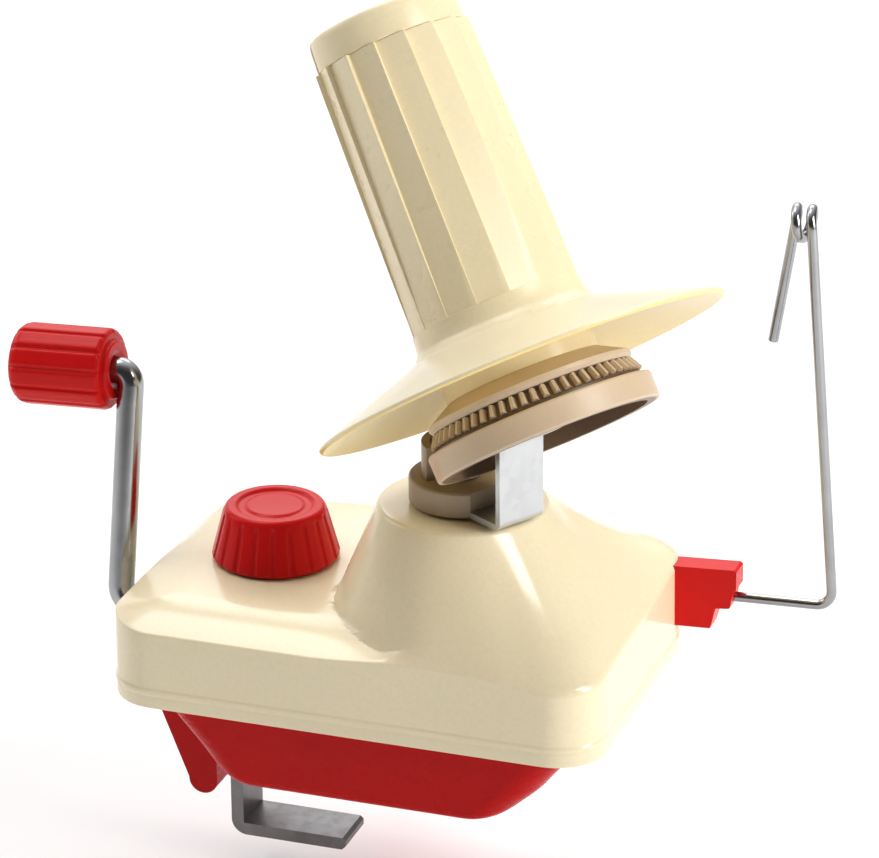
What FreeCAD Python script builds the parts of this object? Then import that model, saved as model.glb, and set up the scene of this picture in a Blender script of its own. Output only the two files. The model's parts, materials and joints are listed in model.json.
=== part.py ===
import FreeCAD, Part
import math, os
from FreeCAD import Vector as V

os.makedirs("parts", exist_ok=True)

# ---------------------------------------------------------------- dimensions (mm)
# Housing outline
HX, HY = 61.65, 40.3         # half length, half width at the ridge bead
MX = 0.65                    # the outline sits a little to the right of the datum
HR = 12.5                    # plan corner radius
LIP_Z, BEAD_Z = 19.0, 23.3   # bottom of the lip, height of the ridge bead
DRAFT = math.tan(math.radians(1.85))
WALL = 2.2
EDGE_Z, DECK_Z, DOME_Z = 38.3, 42.9, 68.2
DOME_R = 19.95
# Spindle axis
SX, SY = 19.0, -6.0
POST_R, SLEEVE_R = 2.5, 5.0
# Winding axis: leans over by TAU, crosses the spindle axis at AZ
TAU, PHI = math.radians(34.64), math.radians(149.0)
AZ = 138.86
# Crank
CZ = 28.6                    # crank shaft height
ROD_R = 3.25
ARM_X, ARM_L, ARM_TILT = -69.7, 58.0, 0.2002
GRIP_L, GRIP_COLLAR, GRIP_R = 24.0, 1.2, 10.0
GRIP_TILT = 0.047            # the handle end of the rod dips outwards a little
# Clamp
KX, KY = -32.1, 3.0          # clamp screw axis
SCREW_R = 3.0
JAW_Y0, JAW_Y1, JAW_T = -1.8, 11.2, 3.2
JAW_X, ARM_TOP_Z, LEG_Z = -43.7, -29.0, 12.4
# Winding cone
FLANGE_R = 50.0
# Gears
PA = math.radians(25.0)
ADD, DED, BACKLASH = 0.70, 0.95, 0.08
N_CRANK, N_PINION, M_CRANK = 48, 12, 1.0
N_SUN, N_CONE, M_CONE = 14, 60, 0.83
G_CRANK, G_PINION = math.atan2(48, 12), math.atan2(12, 48)
G_SUN, G_CONE = math.radians(6.35), math.radians(28.29)
G_CONE = TAU - G_SUN
L_MESH = 0.5 * N_CONE * M_CONE / math.sin(G_CONE)
# Yarn guide
WIRE_R = 1.25
GUIDE_Y = 29.0


# ---------------------------------------------------------------- helpers
def box(x0, x1, y0, y1, z0, z1):
    return Part.makeBox(x1 - x0, y1 - y0, z1 - z0, V(x0, y0, z0))


def cyl(r, z0, z1, x=0.0, y=0.0):
    return Part.makeCylinder(r, z1 - z0, V(x, y, z0))


def xcyl(r, x0, x1, y, z):
    return Part.makeCylinder(r, x1 - x0, V(x0, y, z), V(1, 0, 0))


def tube(ro, ri, z0, z1, x=0.0, y=0.0):
    return cyl(ro, z0, z1, x, y).cut(cyl(ri, z0 - 1, z1 + 1, x, y))


def revolve(pts):
    """Solid of revolution about Z from (radius, z) corners."""
    w = Part.makePolygon([V(r, 0, z) for r, z in pts] + [V(pts[0][0], 0, pts[0][1])])
    return Part.Face(w).revolve(V(0, 0, 0), V(0, 0, 1), 360)


def spline(pts):
    c = Part.BSplineCurve()
    c.interpolate(pts)
    return c.toShape()


def fuse(*shapes):
    s = shapes[0]
    if len(shapes) > 1:
        s = s.fuse(list(shapes[1:]))
    return s.removeSplitter()


def cut(s, *tools):
    return s.cut(list(tools))


def rounded(hx, hy, r, z, mx=0.0):
    """Rounded rectangle wire centred on (mx, 0) at height z."""
    e, k = [], r * math.sqrt(0.5)
    for sx, sy in ((1, 1), (-1, 1), (-1, -1), (1, -1)):
        cx, cy = sx * (hx - r), sy * (hy - r)
        a = V(mx + cx + sx * r, cy, z)
        m = V(mx + cx + sx * k, cy + sy * k, z)
        b = V(mx + cx, cy + sy * r, z)
        if sx * sy > 0:
            e.append((a, m, b))
        else:
            e.append((b, m, a))
    edges = []
    for i, (a, m, b) in enumerate(e):
        edges.append(Part.Arc(a, m, b).toShape())
        edges.append(Part.makeLine(b, e[(i + 1) % 4][0]))
    return Part.Wire(edges)


def prism(sections):
    """Solid lofted through rounded rectangles (hx, hy, r, z)."""
    return Part.makeLoft([rounded(*s, MX) for s in sections], True, True)


def polyhedron(faces):
    shell = Part.makeShell([Part.Face(Part.makePolygon(list(f) + [f[0]])) for f in faces])
    s = Part.makeSolid(shell)
    if s.Volume < 0:
        s.reverse()
    return s


def pipe(points, r, tangent):
    """Round bar along a smooth curve through the points."""
    c = Part.BSplineCurve()
    c.interpolate(points)
    path = Part.Wire([c.toShape()])
    t0 = c.tangent(c.FirstParameter)[0]
    ring = Part.Wire([Part.Circle(points[0], t0, r).toShape()])
    return path.makePipeShell([ring], True, True)


ALPHA = PHI - math.pi


def on_spindle(s):
    """From (r, t, z) axes of the carrier to the object frame."""
    s = s.copy()
    s.rotate(V(0, 0, 0), V(0, 0, 1), math.degrees(ALPHA))
    s.translate(V(SX, SY, 0))
    return s


ST, CT = math.sin(TAU), math.cos(TAU)
RV = V(math.cos(ALPHA), math.sin(ALPHA), 0)
TV = V(-math.sin(ALPHA), math.cos(ALPHA), 0)
XL = RV * CT + V(0, 0, ST)
TL = V(0, 0, CT) - RV * ST


def frame(ex, ey, ez, o):
    return FreeCAD.Matrix(ex.x, ey.x, ez.x, o.x, ex.y, ey.y, ez.y, o.y,
                          ex.z, ey.z, ez.z, o.z, 0, 0, 0, 1)


def on_axis(s):
    """From the winding axis frame (z along the axis, 0 at the crossing point)."""
    s = s.copy()
    s.Placement = FreeCAD.Placement(frame(XL, TV, TL, V(SX, SY, AZ))).multiply(s.Placement)
    return s


def placed(s, ex, ey, ez, o):
    s = s.copy()
    s.Placement = FreeCAD.Placement(frame(ex, ey, ez, o)).multiply(s.Placement)
    return s


# ---------------------------------------------------------------- housing top surface
def smooth(t):
    t = min(1.0, max(0.0, t))
    return t * t * (3 - 2 * t)


def outline_gap(x, y, hx, hy, r):
    """Distance from the outline, positive inside."""
    qx, qy = abs(x) - (hx - r), abs(y) - (hy - r)
    return r - (math.hypot(max(qx, 0), max(qy, 0)) + min(max(qx, qy), 0.0) + 0.0) \
        if max(qx, qy) > 0 else r - max(qx, qy)


def deck_left(x, y):
    a, b, r = 60.55, 39.85, 12.1
    qx, qy = x + a, y + b
    if qx < r and qy < r:
        d = r - math.hypot(r - qx, r - qy)
        side = math.atan2(r - qy, r - qx) / (0.5 * math.pi)
    else:
        d = min(qx, qy)
        side = 0.0 if qx < qy else 1.0
    d = max(0.0, d)
    # the deck rolls down further at the front than at the left
    side_fall = 2.4 + 2.0 * smooth((y + 10.0) / 36.0)
    fall = side_fall + (DECK_Z - EDGE_Z - side_fall) * smooth(side)
    roll = fall * (1 - min(d, 15.0) / 15.0) ** 2
    db = max(0.0, b - y)
    back = 1.2 * (1 - min(db, 7.0) / 7.0) ** 2
    return DECK_Z - roll - back + 1.2 * smooth((x + 40) / 25.0) * smooth((y - 5) / 30.0)


def deck_right(x, y):
    b = 39.85
    t = min(1.0, max(0.0, (y + b) / (2 * b)))
    return 40.2 + 5.6 * t ** 0.8 + 1.2 * smooth((46.0 - x) / 25.0) * t


def deck(x, y):
    w = smooth((x + 8.0) / 26.0)
    return (1 - w) * deck_left(x, y) + w * deck_right(x, y)


def edge_roll(x, y):
    """Rounding of the rim on the right half."""
    d = max(0.0, outline_gap(x - MX, y, HX - 0.5, 39.8, 12.1))
    w = smooth((x + 2.0) / 40.0)
    f = smooth((x - 34.0) / 20.0) * (1 - 0.6 * smooth((y - 5.0) / 30.0))
    k, n = 1.0 + 1.6 * f, 3.0 + 5.0 * f
    return w * k * (1 - min(d, n) / n) ** 2


def reach(cx, cy):
    """Distance from the spindle axis to the outline along a direction."""
    lo, hi = 10.0, 120.0
    for _ in range(30):
        m = 0.5 * (lo + hi)
        if outline_gap(SX + m * cx - MX, SY + m * cy, HX - 0.5, 39.8, 12.1) > 0:
            lo = m
        else:
            hi = m
    return lo


def top_height(x, y):
    dx, dy = x - SX, y - SY
    r = math.hypot(dx, dy)
    if r < 1e-6:
        return DOME_Z
    edge = DOME_R
    cap = DOME_Z
    if r <= edge - 1.2:
        return cap
    a = math.degrees(math.atan2(dy, dx))
    # left side: a steep cone standing on the deck
    left = max(deck(x, y), DOME_Z - 2.4 * (r - edge))
    # other sides: the dome runs out straight to the rim of the housing
    cx, cy = dx / r, dy / r
    rb = reach(cx, cy)
    ze = deck(SX + cx * rb, SY + cy * rb)
    s = min(1.0, max(0.0, (r - edge) / (rb - edge)))
    p = 1.04 + 0.46 * smooth((rb - 34.0) / 16.0)
    right = ze + (DOME_Z - ze) * (1 - s) ** p
    if a > 0:
        w = 1 - smooth((a - 98.0) / 34.0)
    else:
        w = 1 - smooth((-a - 84.0) / 26.0)
    z = (1 - w) * left + w * right - edge_roll(x, y)
    # softened rim of the dome top
    if r < edge + 1.2:
        k = (r - (edge - 1.2)) / 2.4
        z = min(z, DOME_Z - 1.3 * k * k) if r > edge else DOME_Z - 1.3 * k * k
    return z


def height_solid(drop, nx=56, ny=40, z0=-4.0):
    """Everything under the top surface lowered by `drop` along its normal."""
    X, Y = 64.0, 43.5
    rows = []
    h = 0.4
    for i in range(nx + 1):
        row = []
        x = -X + 2 * X * i / nx
        for j in range(ny + 1):
            y = -Y + 2 * Y * j / ny
            z = top_height(x, y)
            if drop:
                gx = (top_height(x + h, y) - top_height(x - h, y)) / (2 * h)
                gy = (top_height(x, y + h) - top_height(x, y - h)) / (2 * h)
                z -= drop * min(2.6, math.sqrt(1 + gx * gx + gy * gy))
            row.append(V(x, y, z))
        rows.append(row)
    surf = Part.BSplineSurface()
    surf.interpolate(rows)
    return surf.toShape().extrude(V(0, 0, -90.0))


def as_solid(s):
    if s.ShapeType == "Solid":
        return s
    sol = s.Solids
    if len(sol) == 1:
        return sol[0]
    return Part.makeCompound(sol)


def export(name, shape):
    bad = not shape.isValid()
    print(name, "solids", len(shape.Solids), "vol %.1f" % shape.Volume, "INVALID" if bad else "")
    shape.exportStep("parts/%s.step" % name)


# ---------------------------------------------------------------- straight bevel gears
def inv(a):
    return math.tan(a) - a


def tooth_polygon(n, gam, l, m):
    """Half outline of a tooth in the plane square to the pitch generator."""
    rv = l * math.tan(gam)
    nv = n / math.cos(gam)
    rb = rv * math.cos(PA)
    lo, hi = rv - (DED + 0.45) * m, rv + ADD * m
    half = 0.25 * math.pi * m - 0.5 * BACKLASH
    base = half / rv + inv(PA)
    pts = []
    for k in range(6):
        if k == 0:
            rho = lo
        else:
            rho = rv - DED * m + (hi - rv + DED * m) * (k - 1) / 4.0
        th = base - (inv(math.acos(min(1.0, rb / rho))) if rho > rb else 0.0)
        pts.append((rho * math.sin(th), rho * math.cos(th) - rv))
    return pts


def bevel_teeth(n, gam, lref, mref, lin, lout, phase):
    sg, cg = math.sin(gam), math.cos(gam)
    out = []
    for i in range(n):
        psi = phase + 2 * math.pi * i / n
        g = V(sg * math.cos(psi), sg * math.sin(psi), -cg)
        nn = V(cg * math.cos(psi), cg * math.sin(psi), sg)
        e = V(-math.sin(psi), math.cos(psi), 0)
        rings = []
        ref = tooth_polygon(n, gam, lref, mref)
        for l in (lin, lout):
            k = l / lref
            ring = [g * l + e * (x * k) + nn * (y * k) for x, y in ref]
            ring += [g * l - e * (x * k) + nn * (y * k) for x, y in reversed(ref)]
            rings.append(ring)
        a, b = rings
        faces = [list(reversed(a)), b]
        for k in range(len(a)):
            q = (k + 1) % len(a)
            faces.append([a[k], a[q], b[q], b[k]])
        out.append(polyhedron(faces))
    return out


def root_point(gam, l, lref, mref, extra=0.0):
    d = (DED * mref) * l / lref + extra
    return (l * math.sin(gam) - d * math.cos(gam), -l * math.cos(gam) - d * math.sin(gam))


# ================================================================ HOUSING
outer = prism([(HX - 0.35, HY - 0.35, HR - 0.35, LIP_Z), (HX, HY, HR, BEAD_Z - 0.5),
               (HX, HY, HR, BEAD_Z + 0.5),
               (HX - 0.35, HY - 0.35, HR - 0.3, BEAD_Z + 0.9),
               (HX - 0.3 - DRAFT * 55, HY - 0.3 - DRAFT * 55, HR - 1.6, BEAD_Z + 55)])
inner = prism([(HX - 0.35 - WALL, HY - 0.35 - WALL, HR - 0.35 - WALL, LIP_Z - 1),
               (HX - 0.3 - WALL - DRAFT * 55, HY - 0.3 - WALL - DRAFT * 55, HR - 1.6 - WALL, BEAD_Z + 55)])
top_solid = height_solid(0.0)
in_solid = height_solid(WALL, 44, 32)
shell_out = as_solid(outer.common(top_solid))
shell_in = as_solid(inner.common(in_solid))
upper = shell_out.cut(shell_in)
# bosses: spindle bush seat, clamp screw seat, four screw posts
SCREWS = [(-50.0, -30.0), (-50.0, 30.0), (36.0, -27.0), (36.0, 27.0)]
spindle_boss = cyl(10.5, 58.8, 67.0, SX, SY)
clamp_boss = cyl(7.0, DECK_Z - 2.3, DECK_Z - 0.6, KX, KY)
posts = [cyl(4.0, 22.1, 60.0, x, y).common(shell_out) for x, y in SCREWS]
upper = upper.fuse([spindle_boss.common(shell_out), clamp_boss] + posts)
upper = upper.cut([cyl(8.0, 50.0, 75.0, SX, SY), cyl(SCREW_R + 0.06, 30.0, 60.0, KX, KY),
                   xcyl(4.8, -65.0, -50.0, SY, CZ)]
                  + [cyl(1.45, 20.0, 36.0, x, y) for x, y in SCREWS])
# holder socket in the right wall
SOCKET = (55.5, 62.5, 27.2, 30.8, 31.5, 40.5)
upper = upper.cut(box(*SOCKET))
upper = as_solid(upper)
export("upper_housing", upper)

# ================================================================ BASE
left_line = [(0.0, -30.2), (1.0, -32.0), (2.0, -33.4), (3.8, -35.5), (5.7, -37.3), (9.0, -39.8), (13.4, -43.5), (19.5, -48.7), (22.0, -50.7)]
right_line = [(0.0, 35.3), (1.0, 37.3), (2.0, 38.9), (3.6, 41.0), (7.9, 46.1), (12.1, 49.5), (19.5, 55.5), (22.0, 57.5)]
side_line = [(0.0, 35.0), (0.6, 36.2), (1.3, 36.7), (2.2, 36.95), (3.4, 37.05), (22.0, 37.9)]
SEAT_Z = 18.65               # top of the tub, just under the lip of the housing


def along(line, z):
    for (z0, a), (z1, b) in zip(line, line[1:]):
        if z <= z1:
            return a + (b - a) * max(0.0, z - z0) / (z1 - z0)
    return line[-1][1]


def tub(off, top=SEAT_Z):
    """Body of the base: a tapering rounded tray, shrunk on the inside by off."""
    zs = [z for z in (0.0, 0.6, 1.3, 2.2, 3.4, 4.8, 7.0, 9.0, 11.5, 13.4, 16.4, SEAT_Z, top) if z >= off]
    rings = []
    for z in sorted(set([off] + zs)):
        x0, x1, hy = along(left_line, z), along(right_line, z), along(side_line, z)
        k = off * (1.3 + 0.8 * max(0.0, 1 - (z - off) / 3.0)) if off else 0.0
        x0, x1, hy = x0 + k, x1 - k, hy - off * (1.0 + (0.5 * max(0.0, 1 - (z - off) / 3.0) if off else 0.0))
        r = 7.0 + 2.0 * min(1.0, z / 6.0) - off
        rings.append(rounded(0.5 * (x1 - x0), hy, r, z, 0.5 * (x0 + x1)))
    return Part.makeLoft(rings, True, True)


plate = prism([(58.8, 37.45, HR - 2.85, SEAT_Z - 0.25), (58.7, 37.35, HR - 2.95, 22.0)])
base = plate.fuse(tub(0.0))
# table stops hanging in front of the table edge, either side of the jaw
lug_a, lug_b, lug_c = V(-40.6, 0, -10.2), V(-44.3, 0, -13.4), V(-47.9, 0, -9.5)
lug_e = [Part.makeLine(V(-40.6, 0, 20.4), lug_a), Part.Arc(lug_a, lug_b, lug_c).toShape()]
lug_f = [lug_c, V(-54.1, 0, 6.2), V(-57.4, 0, 15.0), V(-57.4, 0, 20.4), V(-40.6, 0, 20.4)]
lug_e += [Part.makeLine(p, q) for p, q in zip(lug_f, lug_f[1:])]
lug_face = Part.Face(Part.Wire(lug_e))
lugs = []
for y0, y1 in ((-18.0, -8.0), (17.4, 27.4)):
    s = lug_face.extrude(V(0, y1 - y0, 0))
    s.translate(V(0, y0, 0))
    lugs.append(s)
base = base.fuse(lugs)
hollow = tub(WALL, 23.0)
cavity = hollow.cut([box(-60, -30, -60, -7.0, -20, 60), box(-60, -30, 16.4, 60, -20, 60)])
base = base.cut(cavity)
# hollow the two rear corners beside the jaw slot as well, leaving the stop webs
base = base.cut(hollow.common(box(-60, -30, -60, -19.2, -20, 60)))
base = base.cut(hollow.common(box(-60, -30, 28.6, 60, -20, 60)))
SLOT = (-60.0, -24.0, -3.4, 12.8, 5.6, 30.0)
base = base.cut(box(*SLOT))
base = base.cut(box(-60.0, -39.4, -3.4, 12.8, -20.0, 30.0))
post_boss = cyl(4.3, 0.4, 7.6, SX, SY).fuse(cyl(3.5, 7.6, 11.0, SX, SY))
columns = [cyl(4.6, 8.0, 22.0, x, y) for x, y in SCREWS[2:]]
columns = [c.fuse(cyl(4.6, 2.0, 12.0, x, y).common(tub(0.0))) for c, (x, y) in zip(columns, SCREWS[2:])]
end_boss = cyl(4.2, 3.2, 5.6, KX, KY).common(tub(0.0))
base = base.fuse([post_boss, end_boss] + columns)
base = base.cut([cyl(3.3, -1.0, 2.5, SX, SY), cyl(1.65, 2.0, 4.5, SX, SY), cyl(POST_R, 4.0, 14.0, SX, SY),
                 cyl(2.1, -1.0, 7.0, KX, KY)])
for x, y in SCREWS:
    base = base.cut([cyl(1.7, -2.0, 23.0, x, y), cyl(3.3, -5.0, 20.0 if x > 0 else 20.9, x, y)])
base = as_solid(base)
export("lower_base", base)

scr = []
for x, y in SCREWS:
    z0 = 17.8 if x > 0 else 18.9
    z1 = 20.0 if x > 0 else 20.9
    s = cyl(2.9, z0, z1, x, y).fuse(cyl(1.45, z1, 33.5, x, y))
    s = s.cut([box(x - 1.9, x + 1.9, y - 0.35, y + 0.35, z0 - 1, z0 + 1.0),
               box(x - 0.35, x + 0.35, y - 1.9, y + 1.9, z0 - 1, z0 + 1.0)])
    scr.append(s)
export("housing_screws", Part.makeCompound(scr))

# ================================================================ CRANK
AD = V(0, math.sin(ARM_TILT), math.cos(ARM_TILT))


def bar(p, q, r):
    d = q - p
    return Part.makeCylinder(r, d.Length, p, d)


def elbow(corner, d_in, d_out, t, r):
    """Bend joining two straight legs of a round bar; t is the tangent length."""
    phi = d_in.getAngle(d_out)
    rho = t / math.tan(0.5 * phi)
    bis = (d_out - d_in).normalize()
    a, b = corner - d_in * t, corner + d_out * t
    m = corner + bis * (rho / math.cos(0.5 * phi) - rho)
    path = Part.Wire([Part.Arc(a, m, b).toShape()])
    ring = Part.Wire([Part.Circle(a, d_in, r).toShape()])
    return path.makePipeShell([ring], True, False)


C0 = V(ARM_X, SY, CZ)
C1 = C0 + AD * ARM_L
RB0, RB1 = 5.0, 3.5
GD_OUT = V(-math.cos(GRIP_TILT), 0, -math.sin(GRIP_TILT))     # along the handle, outwards
GRIP_N0 = 3.7                # from the corner of the bend to the collar of the grip
ROD_END = 28.6
rod = bar(V(14.0, SY, CZ), C0 + V(RB0, 0, 0), ROD_R)
rod = rod.fuse([elbow(C0, V(-1, 0, 0), AD, RB0, ROD_R), bar(C0 + AD * RB0, C1 - AD * RB1, ROD_R),
                elbow(C1, AD, GD_OUT, RB1, ROD_R), bar(C1 + GD_OUT * RB1, C1 + GD_OUT * ROD_END, ROD_R)])
PIN_X = 5.6
rod = rod.cut(Part.makeCylinder(1.0, 30.0, V(PIN_X, SY - 15, CZ), V(0, 1, 0)))
export("crank_rod", as_solid(rod.removeSplitter()))

# grip: a fluted handle turning freely on the end of the rod
gl = GRIP_L
GE1 = V(math.sin(GRIP_TILT), 0, -math.cos(GRIP_TILT))     # square to it, downwards


def on_grip(q):
    """Handle axes: z runs inwards from the outer end."""
    ez = GD_OUT * -1.0
    ex = GE1 * -1.0
    return placed(q, ex, ez.cross(ex), ez, C1 + GD_OUT * (GRIP_N0 + GRIP_COLLAR + GRIP_L))


lobes = []
for i in range(120):
    a = 2 * math.pi * i / 120
    rr = GRIP_R - 0.42 + 0.42 * math.cos(12 * a)
    lobes.append(V(rr * math.cos(a), rr * math.sin(a), 0))
lc = Part.BSplineCurve()
lc.interpolate(lobes, PeriodicFlag=True)
body = Part.Face(Part.Wire([lc.toShape()])).extrude(V(0, 0, gl))
form = revolve([(0, 0), (7.6, 0), (9.1, 0.6), (9.8, 1.9), (10.4, 4.0), (10.4, gl - 1.6), (9.7, gl - 0.6),
                (9.2, gl), (0, gl)])
grip = body.common(form).fuse(revolve([(4.4, gl - 4.0), (7.3, gl - 4.0), (7.3, gl + GRIP_COLLAR - 0.5), (6.8, gl + GRIP_COLLAR), (4.4, gl + GRIP_COLLAR)]))
grip = grip.cut([cyl(ROD_R + 0.06, -1, gl + 9), cyl(5.2, -1, 2.6)])
grip = grip.cut(revolve([(0, gl + 0.2), (ROD_R, gl + 0.2), (4.5, gl + GRIP_COLLAR + 0.1), (4.5, gl + 9), (0, gl + 9)]))
export("crank_grip", as_solid(on_grip(grip.removeSplitter())))

export("grip_retainer", on_grip(tube(4.8, ROD_R, 0.6, 2.1)))

bush = xcyl(4.78, -60.9, -56.1, SY, CZ).fuse(xcyl(6.4, -57.9, -56.1, SY, CZ)).cut(xcyl(ROD_R + 0.05, -70, -50, SY, CZ))
export("crank_bush", as_solid(bush.removeSplitter()))

ped = box(-3.0, 3.0, SY - 6.5, SY + 6.5, WALL, CZ).fuse(xcyl(6.5, -3.0, 3.0, SY, CZ))
ped = ped.fuse(box(-3.0, 3.0, SY - 11.0, SY + 11.0, WALL, WALL + 3.0)).cut(xcyl(ROD_R + 0.05, -10, 10, SY, CZ))
export("shaft_pedestal", as_solid(ped.removeSplitter()))

# crank gear: large bevel gear inside the housing
LC = 0.5 * N_CRANK * M_CRANK / math.sin(G_CRANK)
lin, lout = LC * 17.0 / 24.0, LC
ri, zi = root_point(G_CRANK, lin, LC, M_CRANK)
ro, zo = root_point(G_CRANK, lout, LC, M_CRANK)
# the gear body behind the teeth, seen from the apex at z = 0
zb = zo - 3.0
cg = revolve([(ROD_R + 0.01, -5.2), (8.0, -5.2), (8.0, zi - 0.6), (ri - 1.2, zi - 0.2), (ri - 0.02, zi + 0.02), (ro, zo), (ro - 0.25, zb),
              (8.0, zb), (8.0, -15.6), (ROD_R + 0.01, -15.6)])
teeth = bevel_teeth(N_CRANK, G_CRANK, LC, M_CRANK, lin, lout, 0.0)
cg = cg.fuse(teeth)
cg = placed(cg, V(0, 0, 1), V(0, 1, 0), V(-1, 0, 0), V(0, 0, 0))
cg.rotate(V(0, 0, 0), V(0, 0, 1), 180)
cg.translate(V(SX, SY, CZ))
pin_hole = Part.makeCylinder(1.0, 30.0, V(PIN_X, SY - 15, CZ), V(0, 1, 0))
cg = cg.cut(pin_hole)
export("crank_gear", as_solid(cg))
export("crank_gear_pin", Part.makeCylinder(1.0, 16.2, V(PIN_X, SY - 8.1, CZ), V(0, 1, 0)))

# ================================================================ SPINDLE
post = cyl(POST_R, 4.0, 88.9, SX, SY).cut(cyl(1.45, 3.0, 13.0, SX, SY))
export("centre_post", post)
ps = cyl(3.0, 0.3, 2.5, SX, SY).fuse(cyl(1.45, 2.5, 11.5, SX, SY))
ps = ps.cut([box(SX - 2, SX + 2, SY - 0.35, SY + 0.35, 0, 1.3), box(SX - 0.35, SX + 0.35, SY - 2, SY + 2, 0, 1.3)])
export("post_screw", as_solid(ps.removeSplitter()))

# pinion: meshes with the crank gear from above, drives the sleeve
lin, lout = LC * 17.0 / 24.0, LC
ri, zi = root_point(G_PINION, lin, LC, M_CRANK)
ro, zo = root_point(G_PINION, lout, LC, M_CRANK)
ptop = -(55.4 - CZ)
pn = revolve([(2.6, zi + 0.0), (ri, zi), (ro, zo), (7.4, zo), (7.4, ptop), (SLEEVE_R, ptop), (SLEEVE_R, -(53.2 - CZ)), (2.6, -(53.2 - CZ))])
pteeth = bevel_teeth(N_PINION, G_PINION, LC, M_CRANK, lin, lout, math.pi / N_PINION)
bore = cyl(2.6, -60, 10)
pteeth = [t.cut(bore) for t in pteeth]
pn = pn.fuse(pteeth)
pn = placed(pn, V(1, 0, 0), V(0, -1, 0), V(0, 0, -1), V(SX, SY, CZ))
export("spindle_pinion", as_solid(pn))

sleeve = tube(SLEEVE_R, 2.6, 53.2, 75.2, SX, SY)
export("spindle_sleeve", sleeve)
sb = fuse(tube(8.0, SLEEVE_R + 0.06, 57.8, 68.4, SX, SY), tube(10.4, SLEEVE_R + 0.06, 57.8, 58.8, SX, SY))
export("spindle_bush", as_solid(sb))
export("spindle_collar", tube(8.6, SLEEVE_R, 55.5, 57.6, SX, SY))

# carrier hub with the guard wall beside the fixed gear
HUB_R, HUB_Z0, HUB_Z1 = 12.66, 69.0, 75.2
hub = revolve([(SLEEVE_R, HUB_Z0), (HUB_R - 0.3, HUB_Z0), (HUB_R, HUB_Z0 + 0.3), (HUB_R, HUB_Z1 - 0.4), (HUB_R - 0.4, HUB_Z1), (SLEEVE_R, HUB_Z1)])
hub = hub.cut([box(-11.8, 30, -6.65, 6.65, 60, 70.5), box(10.8, 30, -6.65, 6.65, 60, 80)])
sector = [V(0, 0, 75.0)] + [V(20 * math.cos(math.radians(a)), 20 * math.sin(math.radians(a)), 75.0) for a in range(100, 261, 20)]
wedge = Part.Face(Part.makePolygon(sector + [sector[0]])).extrude(V(0, 0, 20))
guard = tube(9.6, 7.6, 75.0, 83.6).common(wedge)
hub = hub.fuse(guard)
RIV = [(-8.6, -4.0), (-8.6, 4.0)]
hub = hub.cut([cyl(1.25, 60, 74.0, x, y) for x, y in RIV])
export("carrier_hub", as_solid(on_spindle(hub.removeSplitter())))

# carrier bracket: one bent strip of plated steel
HW, BT = 6.63, 1.5
A_RZ = lambda s, a: (s * ST + a * CT, AZ - s * CT + a * ST)   # point at distance a across the axis, s below the crossing
PR = 21.47                      # outer face of the upright


def tilt_at_r(s, r):
    a = (r - s * ST) / CT
    return A_RZ(s, a)


S_TOP, S_BOT = 50.45, 51.95
END_A = 7.75
o1 = tilt_at_r(S_BOT, PR)       # underside of the tilted leg meets the outer face of the upright
i1 = tilt_at_r(S_TOP, PR - BT)
poly = [(-11.6, 69.0), (PR, 69.0), o1, A_RZ(S_BOT, END_A), A_RZ(S_TOP, END_A), i1, (PR - BT, 70.5), (-11.6, 70.5)]
face = Part.Face(Part.makePolygon([V(a, -HW, b) for a, b in poly] + [V(poly[0][0], -HW, poly[0][1])]))
br = face.extrude(V(0, 2 * HW, 0))
br = br.cut([cyl(SLEEVE_R, 60, 72)] + [cyl(1.25, 60, 74.0, x, y) for x, y in RIV])
# round the bends
try:
    sel = []
    for e in br.Edges:
        if len(e.Vertexes) == 2 and abs(e.Vertexes[0].Point.y - e.Vertexes[1].Point.y) > 2 * HW - 0.01:
            p = e.Vertexes[0].Point
            for q, rad in (((PR, 69.0), 2.2), (o1, 2.2), (i1, 0.7), ((PR - BT, 70.5), 0.7)):
                if math.hypot(p.x - q[0], p.z - q[1]) < 0.01:
                    sel.append((e, rad))
    b2 = br
    for rad in (2.2, 0.7):
        b2 = br.makeFillet(rad, [e for e, q in sel if q == rad]) if rad == 2.2 else b2
    if b2.isValid():
        br = b2
except Exception as ex:
    print("bend rounding skipped", ex)
axle_hole = Part.makeCylinder(POST_R, 20, V(SX, SY, AZ) - TL * 60, TL)
br = on_spindle(br).cut(axle_hole)
# rounded end of the tilted leg
export("carrier_bracket", as_solid(br))
riv = [on_spindle(cyl(1.25, 69.0, 74.0, x, y)) for x, y in RIV]
export("bracket_rivets", Part.makeCompound(riv))

# fixed gear on top of the post
LS_IN, LS_OUT = 51.0, 53.4
ri, zi = root_point(G_SUN, LS_IN - 0.35, L_MESH, M_CONE)
ro, zo = root_point(G_SUN, LS_OUT + 0.3, L_MESH, M_CONE)
zcol = 75.5 - AZ
sg = revolve([(POST_R, zi), (ri, zi), (ro, zo), (4.6, zo), (4.6, zcol), (POST_R, zcol)])
st = bevel_teeth(N_SUN, G_SUN, L_MESH, M_CONE, LS_IN, LS_OUT, math.pi / N_SUN)
st = [t.cut(cyl(POST_R + 0.8, -80, 0)) for t in st]
sg = sg.fuse(st)
sg = on_spindle(sg)
sg.translate(V(0, 0, AZ))
# set screw facing the front right
SA = math.radians(-70.7)
sd = V(math.cos(SA), math.sin(SA), 0)
SSZ = 79.6
sg = sg.cut(Part.makeCylinder(1.25, 10, V(SX, SY, SSZ), sd))
export("sun_gear", as_solid(sg))
ss = Part.makeCylinder(1.25, 1.6, V(SX, SY, SSZ) + sd * POST_R, sd).cut(Part.makeCylinder(0.55, 1.2, V(SX, SY, SSZ) + sd * (POST_R + 0.8), sd))
export("sun_set_screw", ss)

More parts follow.
